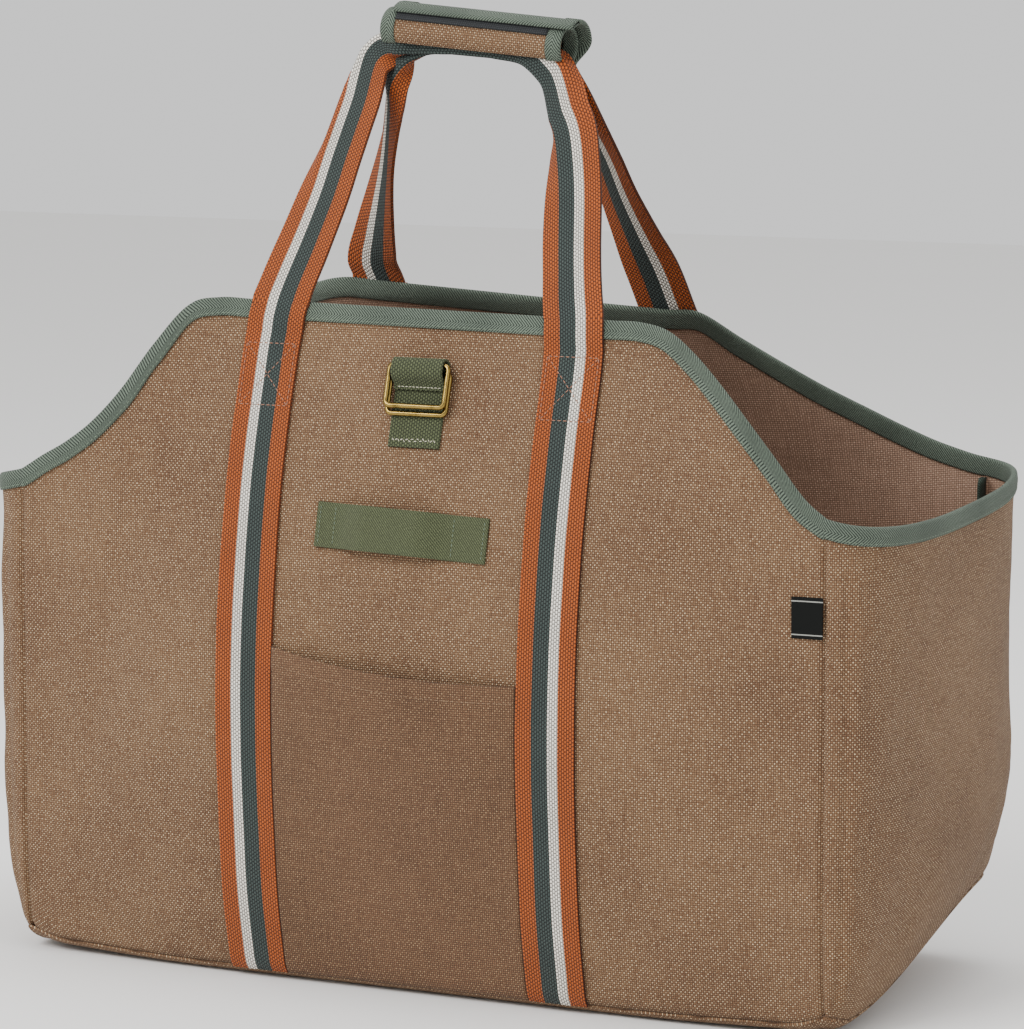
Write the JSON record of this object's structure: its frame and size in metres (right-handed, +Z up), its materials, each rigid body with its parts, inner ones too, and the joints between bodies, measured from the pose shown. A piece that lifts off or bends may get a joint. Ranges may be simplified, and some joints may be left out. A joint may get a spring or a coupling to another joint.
{
  "type": "canvas log carrier",
  "caption": "Open canvas carrier for firewood with high cut-away sides, bound rim, two striped webbing handles held in a grip wrap, front pocket, tool loop and rings.",
  "frame": {"origin": "middle of the base, on the surface that the carrier stands on", "axes": "+X along the carrier to its right end, -Y the front with the pocket and the rings, +Z up to the grip"},
  "size_m": [0.6136, 0.2894, 0.5855],
  "materials": {
    "canvas": "brown waxed cotton canvas, fine basket weave",
    "binding_tape": "sage green twill tape",
    "seam_tape": "dark green twill tape",
    "striped_webbing": "heavy cotton webbing, striped orange, white, slate green and orange",
    "olive_webbing": "olive green webbing",
    "hook_tape": "dark hook tape",
    "brass": "polished round wire",
    "tag_cloth": "black woven tag with two pale edge lines"
  },
  "bodies": {
    "bag": {"base_panel": "canvas", "front_panel": "canvas", "back_panel": "canvas", "end_panel_left": "canvas", "end_panel_right": "canvas", "rim_binding": "binding_tape", "seam_binding_front_left": "seam_tape", "seam_binding_front_right": "seam_tape", "seam_binding_back_left": "seam_tape", "seam_binding_back_right": "seam_tape", "front_handle_webbing": "striped_webbing", "back_handle_webbing": "striped_webbing", "wrap_canvas": "canvas", "wrap_edge_binding": "binding_tape", "wrap_end_binding_left": "binding_tape", "wrap_end_binding_right": "binding_tape", "wrap_hook_tape": "hook_tape", "ring_loop_webbing": "olive_webbing", "tool_loop": "olive_webbing", "pocket_panel": "canvas", "side_tag": "tag_cloth"},
    "ring_front": {"rect_ring_front": "brass"},
    "ring_rear": {"rect_ring_rear": "brass"}
  },
  "joints": [
    {"name": "front_ring_swing", "type": "hinge", "parent": "bag", "child": "ring_front", "pos_m": [0.004, -0.11686, 0.37667], "axis": [-1, 0, 0], "range_deg": [0, 95]},
    {"name": "rear_ring_swing", "type": "hinge", "parent": "bag", "child": "ring_rear", "pos_m": [0.004, -0.11467, 0.37183], "axis": [-1, 0, 0], "range_deg": [0, 95]}
  ],
  "couplings": [
    {"joint": "rear_ring_swing", "follows": "front_ring_swing", "ratio": 1}
  ]
}
